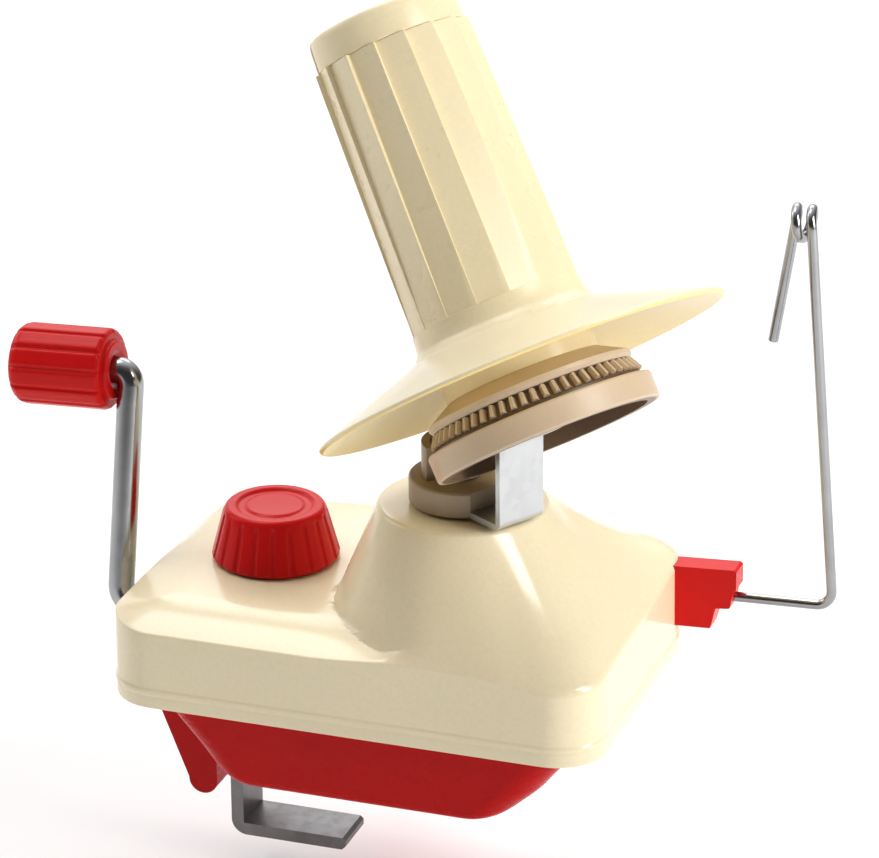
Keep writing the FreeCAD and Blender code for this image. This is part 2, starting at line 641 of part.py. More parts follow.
# ================================================================ WINDING AXIS
# all built with z along the axis; z = -s
axle = fuse(cyl(POST_R, -51.95, -8.0), cyl(4.2, -53.1, -51.95))
export("cone_axle", as_solid(on_axis(axle)))
export("axle_washer", on_axis(tube(5.5, 2.56, -50.4, -49.95)))
export("axle_clip", on_axis(tube(5.0, POST_R, -11.6, -10.4).cut(box(0, 10, -1.1, 1.1, -20, 0))))

BOSS_R = 13.0
BOSS_A = [math.radians(90), math.radians(210), math.radians(330)]
rg_i, zg_i = root_point(G_CONE, 50.45, L_MESH, M_CONE)
rg_o, zg_o = root_point(G_CONE, 54.15, L_MESH, M_CONE)
# gear, skirt and stepped collar in one moulding
gear = revolve([(2.56, -49.9), (6.5, -49.9), (6.5, -49.2), (24.2, -49.2), (24.2, -55.08), (27.1, -55.08), (27.35, -54.6), (27.45, -49.2), (27.2, -48.75),
                (rg_o - 0.02, -48.75), (rg_o, zg_o), (rg_i, zg_i), (rg_i - 0.06, -44.3), (24.3, -44.3), (24.9, -43.4), (24.9, -42.5), (18.7, -39.2),
                (16.4, -39.2), (16.4, -41.0), (21.6, -44.2), (22.4, -47.8), (6.5, -47.8), (5.2, -46.8), (5.2, -30.0), (2.56, -30.0)])
gt = bevel_teeth(N_CONE, G_CONE, L_MESH, M_CONE, 50.8, 53.9, 0.0)
gear = gear.fuse(gt)
bosses = [cyl(3.0, -49.2, -29.8, BOSS_R * math.cos(a), BOSS_R * math.sin(a)) for a in BOSS_A]
gear = gear.fuse(bosses)
holes = []
for a in BOSS_A:
    x, y = BOSS_R * math.cos(a), BOSS_R * math.sin(a)
    holes += [cyl(1.6, -60, -20, x, y), cyl(2.5, -60, -46.9, x, y)]
gear = gear.cut(holes)
export("cone_gear", as_solid(on_axis(gear)))

flange = revolve([(5.4, -27.6), (21.0, -27.6), (50.0, -37.9), (50.0, -38.5), (49.4, -39.0), (21.2, -29.7), (18.7, -31.6), (18.7, -39.2), (16.7, -39.2), (16.7, -29.6), (5.4, -29.6)])
flange = flange.cut([cyl(1.6, -60, -20, BOSS_R * math.cos(a), BOSS_R * math.sin(a)) for a in BOSS_A])
export("flange_disc", as_solid(on_axis(flange)))

# winding cone: hollow, sixteen stepped facets running to points
RC = [(22.2, -27.55), (21.5, -26.9), (21.0, -26.0), (20.6, -22.0), (20.4, -18.0), (20.4, 0.0), (20.0, 25.0), (19.2, 42.5)]
cw = revolve([(2.56, -27.55)] + RC + [(17.0, 42.5), (17.4, 25.0), (18.0, 0.0), (18.2, -25.6), (5.2, -25.6), (5.2, -12.0), (2.56, -12.0)])
cw_b = [cyl(3.2, -27.5, -13.0, BOSS_R * math.cos(a), BOSS_R * math.sin(a)) for a in BOSS_A]
cw = cw.fuse(cw_b)
facets = []
for k in range(16):
    a0 = math.radians(-92.2 + 22.5 * k)
    a1 = a0 + math.radians(22.5)

    # azimuth measured from t towards minus the across direction
    def P(r, a, z):
        return V(-r * math.sin(a), r * math.cos(a), z)
    zt, zb = 42.6, -22.0
    t = [P(17.9, a0, zt), P(19.3, a1, zt), P(23.5, a1, zt), P(23.5, a0, zt)]
    u = [P(20.45, a0, zb), P(20.75, a1, zb), P(23.5, a1, zb), P(23.5, a0, zb)]
    facets.append(polyhedron([t, list(reversed(u)), [t[1], t[0], u[0]], [t[1], u[0], u[1]],
                              [t[2], t[1], u[1], u[2]], [t[3], t[2], u[2], u[3]], [t[0], t[3], u[3], u[0]]]))
cw = cw.cut(facets)
cw = cw.cut([cyl(1.3, -40, -14.5, BOSS_R * math.cos(a), BOSS_R * math.sin(a)) for a in BOSS_A])
export("winding_cone", as_solid(on_axis(cw)))

cap = revolve([(16.9, 38.5), (16.9, 42.5), (18.3, 42.55), (18.0, 48.6), (17.5, 49.9), (16.6, 50.5), (15.0, 50.5), (14.6, 49.6), (14.6, 48.0), (0, 48.0), (0, 46.4), (15.0, 46.4), (15.2, 38.5)])
SLIT = math.radians(-114.0)
sl = box(-0.7, 0.7, 10.0, 22.0, 42.6, 52.0)
sl.rotate(V(0, 0, 0), V(0, 0, 1), math.degrees(SLIT))
cap = cap.cut(sl)
export("cone_cap", as_solid(on_axis(cap)))
gs = []
for a in BOSS_A:
    x, y = BOSS_R * math.cos(a), BOSS_R * math.sin(a)
    s = cyl(2.4, -49.1, -46.9, x, y).fuse(cyl(1.3, -46.9, -16.0, x, y))
    s = s.cut([box(x - 1.6, x + 1.6, y - 0.3, y + 0.3, -50, -48.2), box(x - 0.3, x + 0.3, y - 1.6, y + 1.6, -50, -48.2)])
    gs.append(on_axis(s))
export("gear_screws", Part.makeCompound(gs))

# ================================================================ CLAMP
kb, kt = 15.6, 12.3
KZ0, KZ1 = DECK_Z + 0.3, 56.7
knob = revolve([(0, 47.0), (9.0, 47.0), (9.0, KZ0 + 0.35), (11.8, KZ0 + 0.35), (11.8, KZ0), (14.7, KZ0), (kb, KZ0 + 0.6), (kt + 0.25, KZ1 - 1.0), (kt - 0.4, KZ1), (9.2, KZ1), (8.4, KZ1 - 0.7), (7.6, KZ1 - 0.7), (6.8, KZ1 - 0.2), (0, KZ1 - 0.2)])
knob = knob.fuse(cyl(6.0, KZ0 + 0.35, 48.0))
fl = []
for i in range(20):
    a = 2 * math.pi * i / 20
    p = V((kb + 0.42) * math.cos(a), (kb + 0.42) * math.sin(a), KZ0 - 0.5)
    q = V((kt + 0.75) * math.cos(a), (kt + 0.75) * math.sin(a), KZ1 - 1.2)
    fl.append(bar(p, q, 0.8))
knob = knob.cut(fl).cut(cyl(SCREW_R, 40, 53.5))
knob.translate(V(KX, KY, 0))
export("clamp_knob", as_solid(knob))
kw = tube(5.9, SCREW_R + 0.1, DECK_Z + 0.03, KZ0 + 0.3, KX, KY)
export("knob_washer", kw)
cs = cyl(SCREW_R, 6.2, 53.5, KX, KY).fuse(cyl(2.0, 4.4, 6.2, KX, KY))
CLIP_Z = DECK_Z - 3.35
cs = cs.cut(tube(SCREW_R + 1, SCREW_R - 0.45, CLIP_Z - 0.05, CLIP_Z + 0.85, KX, KY))
export("clamp_screw", as_solid(cs.removeSplitter()))
export("screw_clip", tube(5.4, SCREW_R - 0.45, CLIP_Z, CLIP_Z + 0.8, KX, KY).cut(box(KX, KX + 10, KY - 1.4, KY + 1.4, 38, 43)))

yw = JAW_Y1 - JAW_Y0
jx, jt = JAW_X, JAW_T
az, lz = ARM_TOP_Z, LEG_Z
jaw_pts = [(jx, az - jt), (-14.6, az - jt), (-13.6, az - jt + 1.0), (-13.6, az - 0.8), (-14.4, az), (jx + jt, az), (jx + jt, lz),
           (-26.5, lz), (-26.5, lz + jt), (jx, lz + jt)]
jw = Part.Face(Part.makePolygon([V(a, JAW_Y0, b) for a, b in jaw_pts] + [V(jaw_pts[0][0], JAW_Y0, jaw_pts[0][1])])).extrude(V(0, yw, 0))
es_o, es_i = [], []
for e in jw.Edges:
    if len(e.Vertexes) == 2 and abs(e.Vertexes[0].Point.y - e.Vertexes[1].Point.y) > yw - 0.01:
        p = e.Vertexes[0].Point
        for q in ((jx, az - jt), (jx, lz + jt)):
            if math.hypot(p.x - q[0], p.z - q[1]) < 0.01:
                es_o.append(e)
jw = jw.makeFillet(4.0, es_o)
jw = jw.cut(cyl(SCREW_R + 0.4, 0, 30, KX, KY))
export("clamp_jaw", as_solid(jw))
nut = box(KX - 5, KX + 5, KY - 4.75, KY + 4.75, lz + jt, lz + jt + 5.0).cut(cyl(SCREW_R + 0.05, 0, 60, KX, KY))
export("jaw_nut", nut)

# ================================================================ YARN GUIDE
hold_pts = [(56.0, 43.2), (76.6, 44.4), (77.2, 43.9), (77.2, 39.3), (76.4, 38.7), (75.8, 34.6), (75.4, 34.1), (72.1, 33.8), (71.3, 30.1), (70.8, 28.3), (56.0, 27.6)]
H0, H1 = 26.0, 32.0
hold = Part.Face(Part.makePolygon([V(a, H0, b) for a, b in hold_pts] + [V(hold_pts[0][0], H0, hold_pts[0][1])])).extrude(V(0, H1 - H0, 0))
hold = hold.cut(outer)
hold = hold.fuse(box(*SOCKET))
GD = V(1, 0, 0.04)
GD.normalize()
g0 = V(76.6, GUIDE_Y, 36.3)
hold = hold.cut(Part.makeCylinder(WIRE_R + 0.05, 60, g0 - GD * 30, GD))
export("guide_holder", as_solid(hold))

# wire path: through the holder, up, one and a half turns, tail down
bend = V(100.3, GUIDE_Y, 37.25)
legtop = V(93.1, GUIDE_Y, 132.4)
up = (legtop - bend).normalize()
path = []
start = g0 - GD * 20.0
R1 = 4.0
p_in = bend - GD * R1
p_out = bend + up * R1
CR, PITCH = 3.5, 3.7
yc, zc = GUIDE_Y + CR, 132.4
coil = []
for i in range(37):
    a = 3 * math.pi * i / 36.0
    coil.append(V(93.1 - PITCH * 1.5 * i / 36.0, yc - CR * math.cos(a), zc + CR * math.sin(a)))
tail1 = V(83.0, 34.0, 101.6)


def ball(p):
    return Part.makeSphere(WIRE_R, p)


wire = bar(start, p_in, WIRE_R).fuse([ball(p_in), elbow(bend, GD, up, R1, WIRE_R), ball(p_out), bar(p_out, legtop, WIRE_R), ball(legtop),
                                      pipe(coil, WIRE_R, up), ball(coil[-1]), bar(coil[-1], tail1, WIRE_R)])
export("guide_wire", as_solid(wire))
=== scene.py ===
import bpy, bmesh, math, json
from mathutils import Vector, Matrix


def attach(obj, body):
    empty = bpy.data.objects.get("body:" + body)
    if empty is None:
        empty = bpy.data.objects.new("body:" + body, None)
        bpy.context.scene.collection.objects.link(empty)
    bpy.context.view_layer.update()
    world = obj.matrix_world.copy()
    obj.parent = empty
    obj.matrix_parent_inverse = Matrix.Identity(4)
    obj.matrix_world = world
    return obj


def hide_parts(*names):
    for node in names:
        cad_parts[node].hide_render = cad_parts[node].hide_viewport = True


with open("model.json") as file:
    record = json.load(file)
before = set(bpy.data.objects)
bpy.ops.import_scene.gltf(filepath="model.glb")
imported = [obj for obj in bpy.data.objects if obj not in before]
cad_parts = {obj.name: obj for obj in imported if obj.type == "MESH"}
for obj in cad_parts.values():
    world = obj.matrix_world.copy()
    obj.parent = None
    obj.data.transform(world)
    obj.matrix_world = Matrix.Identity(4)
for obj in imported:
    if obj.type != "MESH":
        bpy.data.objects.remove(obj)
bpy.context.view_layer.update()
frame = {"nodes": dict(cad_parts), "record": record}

scene = bpy.context.scene

# ------------------------------------------------------------------ dimensions (mm)
SX, SY, AZ = 19.0, -6.0, 138.86
TAU, PHI = math.radians(34.64), math.radians(149.0)
ALPHA = PHI - math.pi
ST, CT = math.sin(TAU), math.cos(TAU)
RV = Vector((math.cos(ALPHA), math.sin(ALPHA), 0))
TV = Vector((-math.sin(ALPHA), math.cos(ALPHA), 0))
ZV = Vector((0, 0, 1))
XL = RV * CT + ZV * ST
TL = ZV * CT - RV * ST
HX, HY, HR = 61.65, 40.3, 12.5
MX = 0.65
LIP_Z, BEAD_Z = 19.0, 23.3
DRAFT = math.tan(math.radians(1.85))
EDGE_Z, DECK_Z, DOME_Z, DOME_R = 38.3, 42.9, 68.2, 19.95
CZ, ROD_R = 28.6, 3.25
ARM_X, ARM_L, ARM_TILT = -69.7, 58.0, 0.2002
KX, KY = -32.1, 3.0
GRIP_TILT, GRIP_L, GRIP_COLLAR, GRIP_N0 = 0.047, 24.0, 1.2, 3.7
GUIDE_Y, WIRE_R = 29.0, 1.25


def basis(ex, ey, ez, o):
    m = Matrix.Identity(4)
    for i in range(3):
        m[i][0], m[i][1], m[i][2], m[i][3] = ex[i], ey[i], ez[i], o[i]
    return m


AXIS = basis(XL, TV, TL, Vector((SX, SY, AZ)))
SPIN = basis(RV, TV, ZV, Vector((SX, SY, 0)))


# ------------------------------------------------------------------ mesh helpers
def build(name, verts, faces, mat, body, frame_m=None, angle=32.0, bevel=0.0, seg=2):
    """Mesh object from millimetre coordinates."""
    me = bpy.data.meshes.new(name)
    if frame_m is not None:
        verts = [frame_m @ Vector(v) for v in verts]
    me.from_pydata([Vector(v) * 0.001 for v in verts], [], faces)
    me.validate()
    bm = bmesh.new()
    bm.from_mesh(me)
    bmesh.ops.remove_doubles(bm, verts=bm.verts, dist=1e-7)
    bmesh.ops.recalc_face_normals(bm, faces=bm.faces)
    if bevel:
        es = [e for e in bm.edges if len(e.link_faces) == 2 and e.calc_face_angle(0) > math.radians(28)]
        bmesh.ops.bevel(bm, geom=es, offset=bevel * 0.001, segments=seg, profile=0.5, affect='EDGES', clamp_overlap=True)
    bm.to_mesh(me)
    bm.free()
    me.polygons.foreach_set("use_smooth", [True] * len(me.polygons))
    me.set_sharp_from_angle(angle=math.radians(angle))
    ob = bpy.data.objects.new(name, me)
    scene.collection.objects.link(ob)
    me.materials.append(mat)
    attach(ob, body)
    return ob


def ring_faces(nrow, ncol, closed_cols=True, closed_rows=False):
    f = []
    for i in range(nrow if closed_rows else nrow - 1):
        a, b = i, (i + 1) % nrow
        for j in range(ncol if closed_cols else ncol - 1):
            k = (j + 1) % ncol
            f.append((a * ncol + j, a * ncol + k, b * ncol + k, b * ncol + j))
    return f


def arc_profile(pts, radii, n=5):
    """Round the corners of an open or closed (r, z) outline."""
    out = []
    m = len(pts)
    for i in range(m):
        p = Vector(pts[i])
        rad = radii[i] if i < len(radii) else 0
        if rad <= 0 or i == 0 or i == m - 1:
            out.append(tuple(p))
            continue
        a, b = Vector(pts[i - 1]), Vector(pts[(i + 1) % m])
        d1, d2 = (a - p), (b - p)
        l1, l2 = d1.length, d2.length
        if l1 < 1e-6 or l2 < 1e-6:
            out.append(tuple(p))
            continue
        d1, d2 = d1 / l1, d2 / l2
        k = min(rad, 0.48 * l1, 0.48 * l2)
        for j in range(n + 1):
            t = j / n
            q = (p + d1 * k) * (1 - t) ** 2 + p * (2 * t * (1 - t)) + (p + d2 * k) * t ** 2
            out.append(tuple(q))
    return out


def revolve(name, prof, mat, body, m=None, n=144, closed=True, angle=32.0, rfun=None):
    """Turned piece from an (r, z) outline; rfun(r, z, angle) may flute it."""
    verts, cols = [], n
    for r, z in prof:
        for j in range(n):
            a = 2 * math.pi * j / n
            q = rfun(r, z, a) if rfun else r
            verts.append((q * math.cos(a), q * math.sin(a), z))
    faces = ring_faces(len(prof), n, True, closed)
    if not closed:
        for idx, (r, z) in ((0, prof[0]), (len(prof) - 1, prof[-1])):
            if r > 1e-6:
                faces.append(tuple(idx * n + j for j in range(n)))
    return build(name, verts, faces, mat, body, m, angle)


def tube_along(name, pts, r, mat, body, n=20, cap=True):
    """Round bar through points in millimetres, with a parallel-carried ring."""
    pts = [Vector(p) for p in pts]
    t0 = (pts[1] - pts[0]).normalized()
    ref = Vector((0, 0, 1)) if abs(t0.z) < 0.9 else Vector((1, 0, 0))
    u = (ref - t0 * ref.dot(t0)).normalized()
    verts = []
    for i, p in enumerate(pts):
        if i == 0:
            t = t0
        elif i == len(pts) - 1:
            t = (pts[-1] - pts[-2]).normalized()
        else:
            t = ((pts[i + 1] - p).normalized() + (p - pts[i - 1]).normalized()).normalized()
        u = (u - t * u.dot(t)).normalized()
        w = t.cross(u)
        for j in range(n):
            a = 2 * math.pi * j / n
            verts.append(p + u * (r * math.cos(a)) + w * (r * math.sin(a)))
    faces = ring_faces(len(pts), n)
    if cap:
        # domed ends
        for end, d in ((0, -1), (len(pts) - 1, 1)):
            t = (pts[1] - pts[0]).normalized() if end == 0 else (pts[-1] - pts[-2]).normalized()
            base = len(verts)
            inner = [pts[end] + (verts[end * n + j] - pts[end]) * 0.8 + t * (d * r * 0.16) for j in range(n)]
            verts.extend(inner)
            for j in range(n):
                k = (j + 1) % n
                faces.append((end * n + j, end * n + k, base + k, base + j))
            faces.append(tuple(base + j for j in range(n)))
    return build(name, verts, faces, mat, body, None, 40.0)


# ------------------------------------------------------------------ materials
def nodes_of(mat):
    mat.use_nodes = True
    nt = mat.node_tree
    bsdf = next(n for n in nt.nodes if n.type == 'BSDF_PRINCIPLED')
    return nt, bsdf


def add(nt, kind, **kw):
    n = nt.nodes.new(kind)
    for k, v in kw.items():
        setattr(n, k, v)
    return n


def noise(nt, coord, scale, detail=3.0, rough=0.5, dist=0.0):
    n = add(nt, 'ShaderNodeTexNoise')
    n.inputs['Scale'].default_value = scale
    n.inputs['Detail'].default_value = detail
    n.inputs['Roughness'].default_value = rough
    n.inputs['Distortion'].default_value = dist
    nt.links.new(coord, n.inputs['Vector'])
    return n.outputs['Fac']


def ramp(nt, fac, stops):
    r = add(nt, 'ShaderNodeValToRGB')
    el = r.color_ramp.elements
    el[0].position, el[0].color = stops[0][0], stops[0][1]
    el[1].position, el[1].color = stops[-1][0], stops[-1][1]
    for p, c in stops[1:-1]:
        e = el.new(p)
        e.color = c
    nt.links.new(fac, r.inputs['Fac'])
    return r.outputs['Color']


def rgba(c, k=1.0):
    return (min(1, c[0] * k), min(1, c[1] * k), min(1, c[2] * k), 1.0)


def span(nt, fac, lo, hi):
    m = add(nt, 'ShaderNodeMapRange')
    m.inputs['To Min'].default_value = lo
    m.inputs['To Max'].default_value = hi
    nt.links.new(fac, m.inputs['Value'])
    return m.outputs['Result']


def bump(nt, bsdf, height, strength, distance):
    b = add(nt, 'ShaderNodeBump')
    b.inputs['Strength'].default_value = strength
    b.inputs['Distance'].default_value = distance
    nt.links.new(height, b.inputs['Height'])
    nt.links.new(b.outputs['Normal'], bsdf.inputs['Normal'])


def plastic(name, col, rough=0.3, sss=0.0, mottle=0.05, peel=0.25, radius=(1.0, 0.6, 0.3), coat=0.0, spec=0.5, shade=None):
    """Moulded plastic: faint flow mottling, orange-peel gloss, fine scuffs."""
    mat = bpy.data.materials.new(name)
    nt, b = nodes_of(mat)
    tc = add(nt, 'ShaderNodeTexCoord').outputs['Object']
    big = noise(nt, tc, 28.0, 2.0, 0.5, 0.6)
    c1 = ramp(nt, big, [(0.30, rgba(col, 1 - mottle)), (0.55, rgba(col, 1.0)), (0.75, rgba(col, 1 + mottle * 0.8))])
    fine = noise(nt, tc, 900.0, 2.0, 0.6)
    mix = add(nt, 'ShaderNodeMix', data_type='RGBA', blend_type='MULTIPLY')
    mix.inputs[0].default_value = 0.35
    speck = ramp(nt, fine, [(0.30, (0.90, 0.90, 0.90, 1)), (0.60, (1, 1, 1, 1))])
    nt.links.new(c1, mix.inputs[6])
    nt.links.new(speck, mix.inputs[7])
    out = mix.outputs[2]
    if shade:
        out = shade(nt, out)
    nt.links.new(out, b.inputs['Base Color'])
    b.inputs['Specular IOR Level'].default_value = spec
    med = noise(nt, tc, 140.0, 4.0, 0.6, 0.3)
    nt.links.new(span(nt, med, rough * 0.82, rough * 1.22), b.inputs['Roughness'])
    peel_h = noise(nt, tc, 420.0, 2.0, 0.5)
    bump(nt, b, peel_h, peel, 0.00006)
    b.inputs['IOR'].default_value = 1.5
    if sss:
        b.inputs['Subsurface Weight'].default_value = sss
        b.inputs['Subsurface Radius'].default_value = radius
        b.inputs['Subsurface Scale'].default_value = 0.0025
    if coat:
        b.inputs['Coat Weight'].default_value = coat
        b.inputs['Coat Roughness'].default_value = 0.12
    return mat


def metal(name, col, rough=0.3, streak=(1, 1, 1), spangle=0.0, scratch=0.35, cloudy=0.22):
    """Plated steel: drawn streaks, cloudy plating and small pits."""
    mat = bpy.data.materials.new(name)
    nt, b = nodes_of(mat)
    tc = add(nt, 'ShaderNodeTexCoord').outputs['Object']
    mp = add(nt, 'ShaderNodeMapping')
    mp.inputs['Scale'].default_value = streak
    nt.links.new(tc, mp.inputs['Vector'])
    cloud = noise(nt, tc, 90.0, 4.0, 0.55, 0.4)
    st = noise(nt, mp.outputs['Vector'], 500.0, 3.0, 0.6)
    c = ramp(nt, cloud, [(0.30, rgba(col, 1 - cloudy)), (0.55, rgba(col, 1.0)), (0.75, rgba(col, 1 + 0.5 * cloudy))])
    if spangle:
        v = add(nt, 'ShaderNodeTexVoronoi')
        v.inputs['Scale'].default_value = 420.0
        nt.links.new(tc, v.inputs['Vector'])
        m = add(nt, 'ShaderNodeMix', data_type='RGBA', blend_type='OVERLAY')
        m.inputs[0].default_value = spangle
        nt.links.new(c, m.inputs[6])
        nt.links.new(v.outputs['Color'], m.inputs[7])
        hue = add(nt, 'ShaderNodeHueSaturation')
        hue.inputs['Saturation'].default_value = 0.12
        nt.links.new(m.outputs[2], hue.inputs['Color'])
        c = hue.outputs['Color']
    nt.links.new(c, b.inputs['Base Color'])
    b.inputs['Metallic'].default_value = 1.0
    nt.links.new(span(nt, st, rough * 0.75, rough * 1.35), b.inputs['Roughness'])
    bump(nt, b, st, scratch, 0.00002)
    return mat


def multiply(nt, colour, fac, tint):
    m = add(nt, 'ShaderNodeMix', data_type='RGBA', blend_type='MULTIPLY')
    nt.links.new(fac, m.inputs[0])
    nt.links.new(colour, m.inputs[6])
    m.inputs[7].default_value = tint
    return m.outputs[2]


def maths(nt, op, a, b=None, c=None):
    m = add(nt, 'ShaderNodeMath', operation=op)
    for i, v in enumerate((a, b, c)):
        if v is None:
            continue
        if isinstance(v, (int, float)):
            m.inputs[i].default_value = v
        else:
            nt.links.new(v, m.inputs[i])
    return m.outputs[0]


W_TAU, W_PHI = math.radians(34.64), math.radians(149.0)
W_DIR = Vector((math.sin(W_TAU) * math.cos(W_PHI), math.sin(W_TAU) * math.sin(W_PHI), math.cos(W_TAU)))
W_FOOT = Vector((0.019, -0.006, 0.13886))


def axis_radius(nt):
    """Distance from the leaning winding axis and height along it, in metres."""
    g = add(nt, 'ShaderNodeTexCoord').outputs['Object']
    d = add(nt, 'ShaderNodeVectorMath', operation='SUBTRACT')
    nt.links.new(g, d.inputs[0])
    d.inputs[1].default_value = W_FOOT
    h = add(nt, 'ShaderNodeVectorMath', operation='DOT_PRODUCT')
    nt.links.new(d.outputs[0], h.inputs[0])
    h.inputs[1].default_value = W_DIR
    c = add(nt, 'ShaderNodeVectorMath', operation='CROSS_PRODUCT')
    nt.links.new(d.outputs[0], c.inputs[0])
    c.inputs[1].default_value = W_DIR
    ln = add(nt, 'ShaderNodeVectorMath', operation='LENGTH')
    nt.links.new(c.outputs[0], ln.inputs[0])
    return ln.outputs['Value'], h.outputs['Value']


def step_up(nt, v, lo, hi):
    m = add(nt, 'ShaderNodeMapRange', clamp=True)
    nt.links.new(v, m.inputs['Value'])
    m.inputs['From Min'].default_value = lo
    m.inputs['From Max'].default_value = hi
    return m.outputs['Result']


GEAR_A = W_TAU - math.radians(6.35)


def gear_shade(nt, colour):
    """Painted shade: the tooth gaps and the inside of the skirt are tinted dark."""
    r, h = axis_radius(nt)
    e = maths(nt, 'ADD', maths(nt, 'MULTIPLY', r, math.cos(GEAR_A)), maths(nt, 'MULTIPLY', h, math.sin(GEAR_A)))
    low = maths(nt, 'SUBTRACT', 1.0, step_up(nt, e, -0.00078, -0.00005))
    low = maths(nt, 'MULTIPLY', low, maths(nt, 'SUBTRACT', 1.0, step_up(nt, h, -0.0442, -0.0436)))
    low = maths(nt, 'MULTIPLY', low, maths(nt, 'SUBTRACT', 1.0, step_up(nt, r, 0.0262, 0.0266)))
    return multiply(nt, colour, low, (0.26, 0.20, 0.15, 1))


def flange_shade(nt, colour):
    """Painted shade and painted warm light: the underside is tinted a darker, deeper yellow, standing in for shade
    and for warm light passed through the thin disc.
    """
    d = add(nt, 'ShaderNodeVectorMath', operation='DOT_PRODUCT')
    nt.links.new(add(nt, 'ShaderNodeTexCoord').outputs['Normal'], d.inputs[0])
    d.inputs[1].default_value = W_DIR
    under = maths(nt, 'SUBTRACT', 1.0, step_up(nt, d.outputs['Value'], -0.55, 0.0))
    return multiply(nt, colour, under, (0.97, 0.87, 0.52, 1))


CREAM_C = (0.80, 0.695, 0.475)
M = {}
M['cream'] = plastic("cream_gloss", CREAM_C, 0.17, sss=0.06, mottle=0.02, peel=0.10, radius=(1.0, 0.72, 0.38))
M['flange'] = plastic("cream_flange", CREAM_C, 0.24, sss=0.0, mottle=0.02, peel=0.10, radius=(1.0, 0.72, 0.38), shade=flange_shade)
# painted warm light: the cone's cream is a brighter, more orange copy of the housing cream, standing in for warm
# light bounced round and passed through the plastic
M['cream_cone'] = plastic("cream_cone", (0.83, 0.71, 0.46), 0.28, sss=0.0, mottle=0.02, peel=0.0, radius=(1.0, 0.72, 0.38))
M['red'] = plastic("red_gloss", (0.47, 0.007, 0.007), 0.27, sss=0.01, mottle=0.06, peel=0.10, radius=(1.0, 0.2, 0.15), spec=0.08)
# painted light: a lighter copy of the same red plastic as the tub, for the grip, knob and guide holder, which catch
# more light
M['red_lit'] = plastic("red_knob_painted_light", (0.64, 0.009, 0.009), 0.24, sss=0.02, mottle=0.05, peel=0.10, radius=(1.0, 0.2, 0.15), spec=0.12)
M['tan'] = plastic("tan_nylon", (0.58, 0.45, 0.31), 0.40, sss=0.08, mottle=0.05, peel=0.2)
M['gear'] = plastic("tan_gear", (0.58, 0.45, 0.32), 0.40, sss=0.0, mottle=0.05, peel=0.2, shade=gear_shade)
# painted shade: the hub is the same tan nylon as the gear, given a darker copy of the colour for the shade it sits
# in
M['hub'] = plastic("tan_hub_painted_shade", (0.36, 0.275, 0.18), 0.38, sss=0.0, mottle=0.08, peel=0.2, spec=0.35)
M['nylon'] = plastic("white_nylon", (0.72, 0.71, 0.66), 0.45, sss=0.1, mottle=0.04, peel=0.3)
M['zinc'] = metal("zinc_plate", (0.43, 0.505, 0.56), 0.34, (1, 1, 0.06), 0.05, cloudy=0.08)
M['jaw'] = metal("zinc_jaw", (0.165, 0.165, 0.172), 0.38, (1, 1, 0.06), 0.08)
M['rod'] = metal("zinc_rod", (0.32, 0.335, 0.35), 0.18, (1, 1, 0.05), 0.04, cloudy=0.12)
M['wire'] = metal("bright_wire", (0.34, 0.34, 0.35), 0.18, (1, 1, 0.08), 0.0, 0.2, cloudy=0.12)
M['steel'] = metal("plain_steel", (0.36, 0.37, 0.39), 0.32, (1, 1, 1), 0.0)

slot_mat = {"cream_plastic": 'cream', "red_plastic": 'red', "tan_plastic": 'tan', "zinc_steel": 'zinc',
            "plated_wire": 'wire', "dark_steel": 'steel', "white_nylon": 'nylon'}
node_mat = {"clamp_jaw": 'jaw', "carrier_hub": 'hub', "cone_gear": 'gear', "crank_rod": 'rod', "guide_holder": 'red_lit'}
record = frame["record"]
for sp in record["subparts"]:
    ob = frame["nodes"].get(sp["node"])
    if ob is None:
        continue
    mat = M[node_mat.get(sp["node"], slot_mat[sp["material_slot"]])]
    ob.data.materials.clear()
    ob.data.materials.append(mat)
    ob.data.polygons.foreach_set("use_smooth", [True] * len(ob.data.polygons))
    ob.data.set_sharp_from_angle(angle=math.radians(26))


for name, w in (("clamp_jaw", 0.55), ("carrier_bracket", 0.18), ("guide_holder", 0.4), ("carrier_hub", 0.3), ("lower_base", 0.5)):
    ob = frame["nodes"].get(name)
    if ob is not None:
        bv = ob.modifiers.new("edges", 'BEVEL')
        bv.width = w * 0.001
        bv.segments = 3
        bv.limit_method = 'ANGLE'
        bv.angle_limit = math.radians(34)
        bv.harden_normals = False


# ------------------------------------------------------------------ housing
def smooth(t):
    t = min(1.0, max(0.0, t))
    return t * t * (3 - 2 * t)


def outline_gap(x, y, hx, hy, r):
    qx, qy = abs(x) - (hx - r), abs(y) - (hy - r)
    if max(qx, qy) > 0:
        return r - (math.hypot(max(qx, 0), max(qy, 0)) + min(max(qx, qy), 0.0))
    return r - max(qx, qy)


def deck_left(x, y):
    a, b, r = 60.55, 39.85, 12.1
    qx, qy = x + a, y + b
    if qx < r and qy < r:
        d = r - math.hypot(r - qx, r - qy)
        side = math.atan2(r - qy, r - qx) / (0.5 * math.pi)
    else:
        d = min(qx, qy)
        side = 0.0 if qx < qy else 1.0
    d = max(0.0, d)
    # the deck rolls down further at the front than at the left
    side_fall = 2.4 + 2.0 * smooth((y + 10.0) / 36.0)
    fall = side_fall + (DECK_Z - EDGE_Z - side_fall) * smooth(side)
    roll = fall * (1 - min(d, 15.0) / 15.0) ** 2
    db = max(0.0, b - y)
    back = 1.2 * (1 - min(db, 7.0) / 7.0) ** 2
    return DECK_Z - roll - back + 1.2 * smooth((x + 40) / 25.0) * smooth((y - 5) / 30.0)


def deck_right(x, y):
    b = 39.85
    t = min(1.0, max(0.0, (y + b) / (2 * b)))
    return 40.2 + 5.6 * t ** 0.8 + 1.2 * smooth((46.0 - x) / 25.0) * t


def deck(x, y):
    w = smooth((x + 8.0) / 26.0)
    return (1 - w) * deck_left(x, y) + w * deck_right(x, y)


